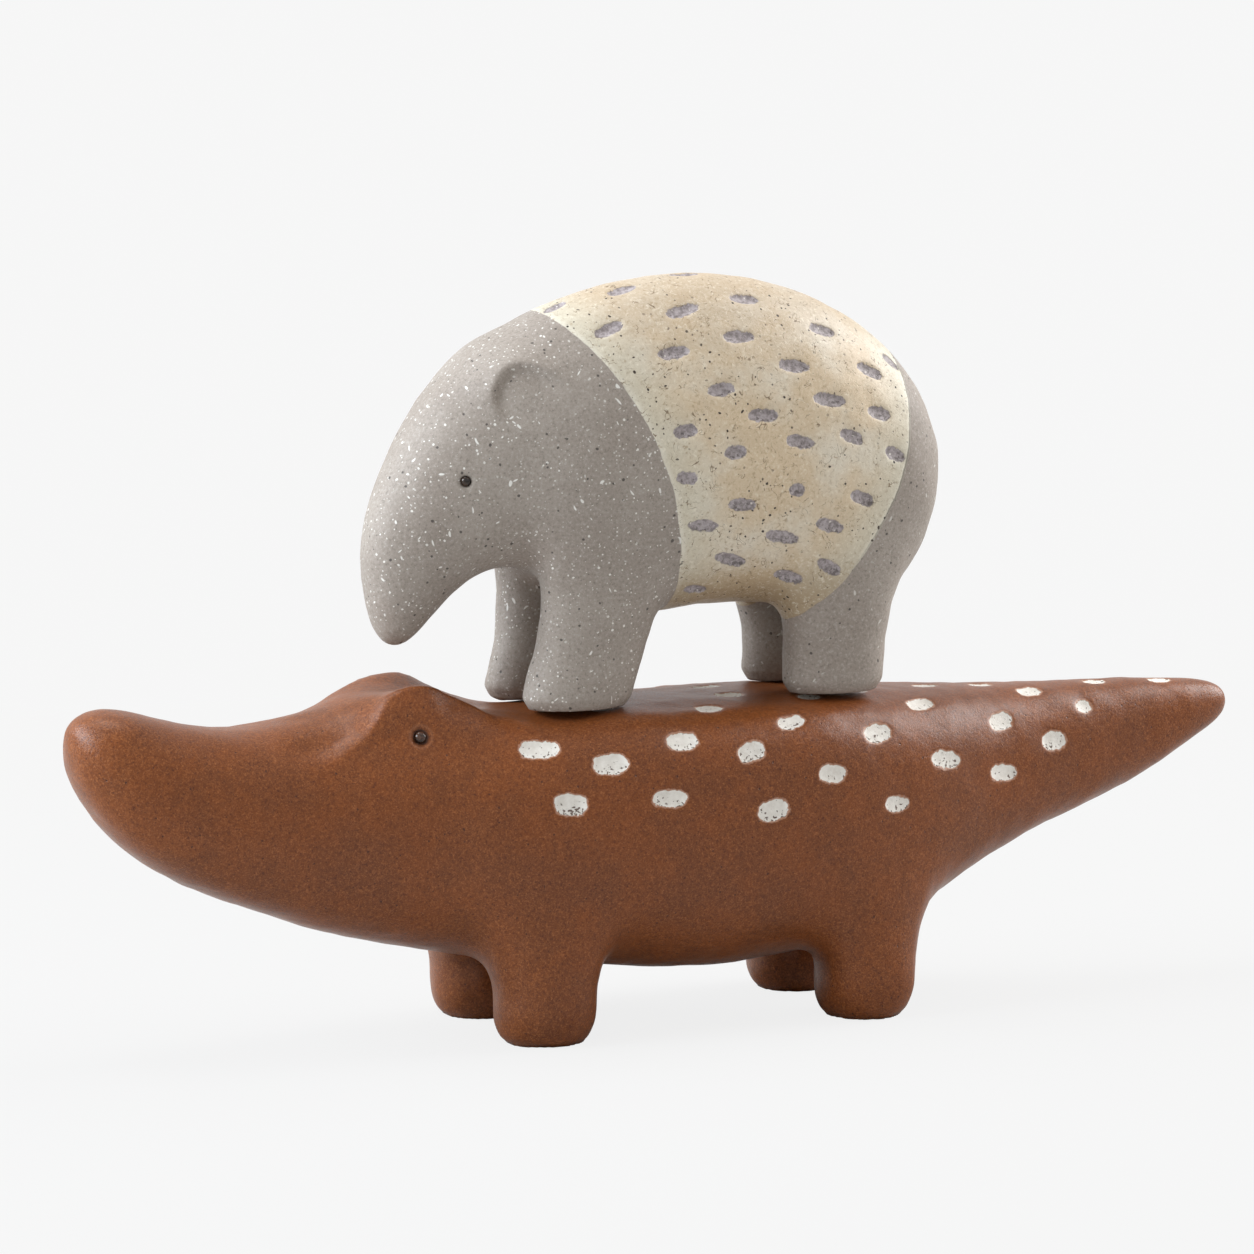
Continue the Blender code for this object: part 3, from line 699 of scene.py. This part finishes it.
# %% [markdown]
# ## Brown glaze
#
# The crocodile is a warm terracotta brown with a soft shine. Close up it is restless: an orange grain like
# leather, thin light veins, small dark flecks and faint clouds. Colours are linear red, green and blue, and two
# of them in a pair are the tones that a cloud or a noise goes between.

# %% Mix the brown glaze
GLAZE = ((0.150, 0.042, 0.010), (0.184, 0.049, 0.009))
MOTTLE = ((0.305, 0.100, 0.028), (0.075, 0.018, 0.006))
GRAIN = ((0.345, 0.126, 0.042), (0.060, 0.015, 0.006))
VEIN = (0.360, 0.135, 0.050)
FLECK = (0.045, 0.014, 0.007)

brown, tree, shader, place = new_finish("brown_glaze")
cloudy = between(tree, clouds(tree, place, 17.0, detail=4.0, roughness=0.6), 0.38, 0.62)
colour = paint(tree, cloudy, *GLAZE)
mottle = clouds(tree, place, 1.0, detail=4.0, roughness=0.7, distortion=0.6)
colour = two_tones(tree, mottle, colour, MOTTLE, (0.50, 0.70, 0.55), (0.48, 0.30, 0.65))
grain = clouds(tree, place, 0.42, detail=2.0, roughness=0.6, distortion=0.6)
colour = two_tones(tree, grain, colour, GRAIN, (0.54, 0.70, 0.60), (0.46, 0.30, 0.70))
veins = thin_lines(tree, place, 1.7, 0.030)
colour = paint(tree, calc(tree, "MULTIPLY", veins, 0.30), colour, VEIN)
flecks = chips(tree, place, 2.2, -0.17, 0.16)
colour = paint(tree, calc(tree, "MULTIPLY", flecks, 0.80), colour, FLECK)
print("the brown ground takes", len(tree.nodes), "nodes")

# %% [markdown]
# ## White spots
#
# The spots are bare white resin, chalky, with ragged edges, pits along their lower part whose dark colour is
# partly the brown beneath and partly painted shade, and a thin pinkish rim where the glaze breaks over the edge.
# The stored distance says where they are. The eye sockets are darkened inside as painted shade, with a faint
# painted highlight on their lip.

# %% Paint the spots, and the painted shade and highlight of the sockets
RIM = (0.500, 0.290, 0.200)
CHALK = ((0.600, 0.560, 0.500), (0.930, 0.910, 0.870))
# the pits' colour: the brown beneath, deepened with painted shade
PIT_WITH_SHADE = (0.085, 0.045, 0.030)
# painted shade inside the eye sockets, and a painted highlight on their lips
BROWN_SOCKET_SHADE = (0.030, 0.012, 0.008)
SOCKET_LIP_HIGHLIGHT = (0.400, 0.180, 0.095)

low = attribute(tree, "low")
spot_edge = ragged(tree, place, attribute(tree, "mark"), 2.0, 0.90)
rim = calc(tree, "MULTIPLY", between(tree, spot_edge, 0.60, 0.15), between(tree, spot_edge, -0.25, 0.05))
colour = paint(tree, calc(tree, "MULTIPLY", rim, 0.70), colour, RIM)
in_spot = between(tree, spot_edge, 0.06, -0.06)
chalk = paint(tree, clouds(tree, place, 1.8, detail=3.0, roughness=0.6), *CHALK)
# Pits gather towards each spot's lower part. Their dark colour is partly the brown beneath and partly painted shade.
pitting = calc(tree, "MULTIPLY_ADD", low, 0.045, clouds(tree, place, 0.8, detail=2.0))
pits = between(tree, pitting, 0.63, 0.68)
chalk = paint(tree, calc(tree, "MULTIPLY", pits, 0.9), chalk, PIT_WITH_SHADE)
colour = paint(tree, in_spot, colour, chalk)

socket = attribute(tree, "socket")
# Painted shade darkens the inside of each eye socket, and a faint painted highlight lightens its lip.
colour = paint(tree, between(tree, socket, -0.1, -0.7, 0.0, 0.85), colour, BROWN_SOCKET_SHADE)
lip = calc(tree, "MULTIPLY", between(tree, socket, 1.1, 0.4), between(tree, socket, 0.0, 0.3))
colour = paint(tree, calc(tree, "MULTIPLY", lip, 0.20), colour, SOCKET_LIP_HIGHLIGHT)
tree.links.new(colour, shader.inputs["Base Color"])
print("with spots and sockets it takes", len(tree.nodes), "nodes")

# %% [markdown]
# ## Shine and relief of the crocodile
#
# The glaze is glossiest between its grains, and the chalk has hardly any shine. A bump carries what is too fine
# for the skin itself: the grain stands up, the flecks and pits go in, and the spots lie a little lower.

# %% Give the brown glaze its shine and relief
shader.inputs["Specular IOR Level"].default_value = 0.30
shine = between(tree, grain, 0.30, 0.70, 0.29, 0.41)
tree.links.new(calc(tree, "MULTIPLY_ADD", in_spot, 0.38, shine), shader.inputs["Roughness"])
spot_pits = calc(tree, "MULTIPLY", pits, in_spot)
raised(tree, shader, ((mottle, 0.16), (grain, 0.08), (flecks, -0.12), (in_spot, -0.28), (spot_pits, -0.30)), 0.6)
croc.data.materials.append(brown)
print(brown.name, "has", len(tree.nodes), "nodes")

# %% [markdown]
# ## Grey stone
#
# The tapir is one casting with two finishes. Its head, legs and rump are a warm grey like stone, with many tiny
# white chips, fewer towards the rump, some larger slanting ones and dark specks.

# %% Mix the grey stone
GREY = ((0.280, 0.240, 0.207), (0.322, 0.282, 0.246))
DUST = ((0.450, 0.412, 0.376), (0.150, 0.125, 0.106))
FINE_CHIP = (0.720, 0.700, 0.660)
LARGE_CHIP = (0.740, 0.725, 0.690)
SPECK = (0.055, 0.045, 0.040)
RUMP_FROM, RUMP_TO = -30.0, 45.0  # the x over which the chips grow fewer

stone, tree, shader, place = new_finish("grey_stone_and_cream_saddle")
split = add_node(tree, "SeparateXYZ", {"Vector": place}).outputs
tone = between(tree, clouds(tree, place, 26.0, detail=3.0), 0.35, 0.65)
grey = paint(tree, tone, *GREY)
dust = clouds(tree, place, 0.8, detail=4.0, roughness=0.75)
grey = two_tones(tree, dust, grey, DUST, (0.50, 0.70, 0.60), (0.48, 0.30, 0.65))
rearward = between(tree, split["X"], RUMP_FROM, RUMP_TO)
crowd = between(tree, clouds(tree, place, 14.0, detail=1.0), 0.35, 0.60, 0.45, 1.0)
fewer = calc(tree, "MULTIPLY_ADD", rearward, -0.80, 1.0)
for spacing, largest in ((0.9, 0.27), (1.5, 0.25)):
    fine = chips(tree, place, spacing, -0.24, largest)
    fine = calc(tree, "MULTIPLY", calc(tree, "MULTIPLY", fine, fewer), crowd)
    grey = paint(tree, fine, grey, FINE_CHIP)
for slant in (0.5, -0.9):
    large = chips(tree, place, 3.3, -0.17, 0.18, stretch=(1.8, 1.0, 0.6), turn=(0, slant, 0), warp=1.2)
    large = calc(tree, "MULTIPLY", large, calc(tree, "MULTIPLY_ADD", rearward, -0.45, 0.95))
    grey = paint(tree, large, grey, LARGE_CHIP)
specks = chips(tree, place, 2.3, -0.14, 0.20)
grey = paint(tree, calc(tree, "MULTIPLY", specks, 0.85), grey, SPECK)
print("the grey stone takes", len(tree.nodes), "nodes")

# %% [markdown]
# ## Cream saddle
#
# The saddle is a cream glaze with ochre clouds, fine fibres, a few dark hairs and pepper. It is paler at its
# edge, and painted shade darkens it on the crown and towards the belly. In the side view it ends on two large
# circles, so its edge needs no drawn mask: the material works out how far a point lies from each circle.

# %% Mix the cream saddle
SADDLE_FRONT = (-111.4, 24.6, 105.3)  # x, height above the soles and radius; the saddle is outside it
SADDLE_REAR = (-16.5, 81.2, 75.5)  # and inside this one
CREAM = ((0.665, 0.605, 0.500), (0.605, 0.484, 0.335))
# painted shade over the top of the saddle, darker towards the crown where the lamps light it most
CROWN_SHADE = (0.430, 0.335, 0.232)
CROWN_FROM, CROWN_TO = TAPIR_SOLES + 76, TAPIR_SOLES + 106  # the z over which it comes in
PALE_CREAM = (0.580, 0.550, 0.450)
PALEST_CREAM = (0.720, 0.690, 0.600)
# painted shade on the saddle's lower part, towards the belly
BELLY_SHADE = (0.290, 0.200, 0.105)
BELLY_FROM, BELLY_TO = TAPIR_SOLES + 40, TAPIR_SOLES + 23
FIBRE = ((0.780, 0.725, 0.610), (0.340, 0.250, 0.150))
HAIR = (0.160, 0.105, 0.055)
PEPPER = (0.040, 0.026, 0.018)


def from_circle(tree, place, circle):
    """How far the place lies outside a circle of the side view, in millimetres."""
    x, z, radius = circle
    flat = add_node(tree, "VectorMath", {0: place, 1: (1, 0, 1)}, operation="MULTIPLY").outputs[0]
    centre = (x, 0, z + TAPIR_SOLES)
    away = add_node(tree, "VectorMath", {0: flat, 1: centre}, operation="DISTANCE").outputs["Value"]
    return calc(tree, "SUBTRACT", away, radius)


front = from_circle(tree, place, SADDLE_FRONT)
rear = from_circle(tree, place, SADDLE_REAR)
inside = calc(tree, "MINIMUM", front, calc(tree, "MULTIPLY", rear, -1.0))
inside = ragged(tree, place, inside, 9.0, 0.8)
in_saddle = between(tree, inside, -0.15, 0.15)

ochre = between(tree, clouds(tree, place, 20.0, detail=5.0, roughness=0.6), 0.32, 0.60)
cream = paint(tree, ochre, *CREAM)
# Painted shade: the cream is darkened towards the crown.
cream = paint(tree, between(tree, split["Z"], CROWN_FROM, CROWN_TO, 0.0, 0.72), cream, CROWN_SHADE)
cream = paint(tree, between(tree, inside, 15.0, 0.5, 0.0, 0.75), cream, PALE_CREAM)
cream = paint(tree, between(tree, inside, 1.8, 0.3, 0.0, 0.5), cream, PALEST_CREAM)
# Painted shade: the cream is darkened towards the belly, under the body.
cream = paint(tree, between(tree, split["Z"], BELLY_FROM, BELLY_TO, 0.0, 0.80), cream, BELLY_SHADE)
fibre = clouds(tree, place, 1.0, detail=4.0, roughness=0.75, distortion=0.8)
cream = two_tones(tree, fibre, cream, FIBRE, (0.52, 0.70, 0.60), (0.47, 0.31, 0.70))
hairs = calc(tree, "MULTIPLY", thin_lines(tree, place, 5.0, 0.016),
             between(tree, clouds(tree, place, 3.0, detail=1.0), 0.52, 0.62))
cream = paint(tree, calc(tree, "MULTIPLY", hairs, 0.85), cream, HAIR)
pepper = calc(tree, "MAXIMUM", chips(tree, place, 1.5, -0.16, 0.25, warp=0.9),
              chips(tree, place, 2.4, -0.16, 0.18, warp=0.9))
peppery = between(tree, clouds(tree, place, 16.0, detail=1.0), 0.42, 0.56, 0.40, 1.0)
cream = paint(tree, calc(tree, "MULTIPLY", pepper, peppery), cream, PEPPER)
print("with the saddle it takes", len(tree.nodes), "nodes")

# %% [markdown]
# ## Grey dashes
#
# The dashes are a mauve grey wash over the cream, with small pale chips and painted shade along their lower
# lip. A thin line of painted shade follows the saddle's rear step over the hind leg, and the sockets of the eyes
# are darkened as painted shade.

# %% Paint the dashes, and the painted shade of their lips, of the saddle's edge and of the sockets
WASH = ((0.215, 0.185, 0.185), (0.430, 0.385, 0.395))
WASH_CHIP = (0.640, 0.600, 0.570)
# painted shade along the lower lip of each dash
LOWER_LIP_SHADE = (0.100, 0.082, 0.080)
# painted shade: a thin dark line where the saddle steps down at its rear edge, over the hind leg
LEDGE_SHADE = (0.110, 0.090, 0.070)
LINE_FROM, LINE_TO = 30, 34  # the x over which the line comes in
LINE_LOW, LINE_HIGH = TAPIR_SOLES + 28, TAPIR_SOLES + 50  # and the z
# painted shade inside the eye sockets
GREY_SOCKET_SHADE = (0.030, 0.022, 0.016)

low = attribute(tree, "low")
dash_edge = ragged(tree, place, attribute(tree, "mark"), 1.6, 0.85)
in_dash = between(tree, dash_edge, 0.18, -0.22)
wash = clouds(tree, place, 1.3, detail=4.0, roughness=0.7)
wash = paint(tree, between(tree, wash, 0.35, 0.65), *WASH)
wash = paint(tree, chips(tree, place, 1.6, -0.24, 0.22), wash, WASH_CHIP)
# Painted shade: the lower lip of each dash is darkened, more towards its bottom.
shade = calc(tree, "MULTIPLY_ADD", low, 0.10, clouds(tree, place, 0.8, detail=2.0))
wash = paint(tree, between(tree, shade, 0.60, 0.74, 0.0, 0.75), wash, LOWER_LIP_SHADE)
cream = paint(tree, in_dash, cream, wash)
colour = paint(tree, in_saddle, grey, cream)

# Painted shade: a thin dark line under the saddle's rear step, over the hind leg.
line = between(tree, calc(tree, "ABSOLUTE", calc(tree, "ADD", inside, -0.25)), 0.45, 0.15)
line = calc(tree, "MULTIPLY", line, between(tree, split["X"], LINE_FROM, LINE_TO))
line = calc(tree, "MULTIPLY", line, between(tree, split["Z"], LINE_LOW, LINE_HIGH))
colour = paint(tree, calc(tree, "MULTIPLY", line, 0.75), colour, LEDGE_SHADE)
# Painted shade: the eye sockets are darkened inside, where shade falls in the hollow.
socket_shade = between(tree, attribute(tree, "socket"), 0.15, -0.3)
colour = paint(tree, calc(tree, "MULTIPLY", socket_shade, 0.85), colour, GREY_SOCKET_SHADE)
tree.links.new(colour, shader.inputs["Base Color"])
print("with the dashes it takes", len(tree.nodes), "nodes")

# %% [markdown]
# ## Shine and relief of the tapir
#
# The saddle is smoother than the stone, and the dashes are duller. The bump gives the saddle a little thickness
# over the stone, a fibrous surface and shallow pepper holes, and sinks the dashes.

# %% Give the tapir its shine and relief
shader.inputs["Specular IOR Level"].default_value = 0.40
shine = between(tree, in_saddle, 0.0, 1.0, 0.60, 0.46)
tree.links.new(calc(tree, "MULTIPLY_ADD", in_dash, 0.12, shine), shader.inputs["Roughness"])
fibres, hollows, holes = (calc(tree, "MULTIPLY", layer, in_saddle) for layer in (fibre, in_dash, pepper))
raised(tree, shader, (
    (dust, 0.10), (fibres, 0.12), (in_saddle, 0.12), (hollows, -0.25), (holes, -0.10), (specks, -0.08),
), 0.6)
tapir.data.materials.append(stone)
print(stone.name, "has", len(tree.nodes), "nodes")

# %% [markdown]
# ## Glossy eyes
#
# The crocodile's beads are a deep brown and the tapir's are nearly black, both under a clear coat that catches
# the lamp. A faint cloud of a lighter tone keeps them from looking like holes.

# %% Finish the eyes
BEAD_TONES = {
    "crocodile": ((0.020, 0.009, 0.005), (0.075, 0.034, 0.020)),
    "tapir": ((0.010, 0.006, 0.004), (0.040, 0.022, 0.013)),
}

for animal, tones in BEAD_TONES.items():
    wet, tree, shader, place = new_finish(animal + "_bead")
    amber = between(tree, clouds(tree, place, 1.2, detail=2.0), 0.40, 0.65)
    tree.links.new(paint(tree, amber, *tones), shader.inputs["Base Color"])
    smear = between(tree, clouds(tree, place, 0.8), 0.3, 0.7, 0.14, 0.24)
    tree.links.new(smear, shader.inputs["Roughness"])
    shader.inputs["Specular IOR Level"].default_value = 0.30
    shader.inputs["Coat Weight"].default_value = 0.25
    shader.inputs["Coat Roughness"].default_value = 0.06
    raised(tree, shader, ((clouds(tree, place, 0.9), 0.03),), 0.3)
    for eye in eyes[animal]:
        eye.data.materials.clear()
        eye.data.materials.append(wet)
    print(wet.name, "is on", len(eyes[animal]), "beads")

# %% [markdown]
# ## Hand over
#
# Each piece is tied to the body that it moves with. The two castings stand for the measured nodes, which are
# then hidden.

# %% Tie the pieces to the body and hide the measured nodes
for piece, node in ((croc, "crocodile"), (tapir, "tapir")):
    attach(piece, "root")
    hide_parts(node)
for pair in eyes.values():
    for eye in pair:
        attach(eye, "root")
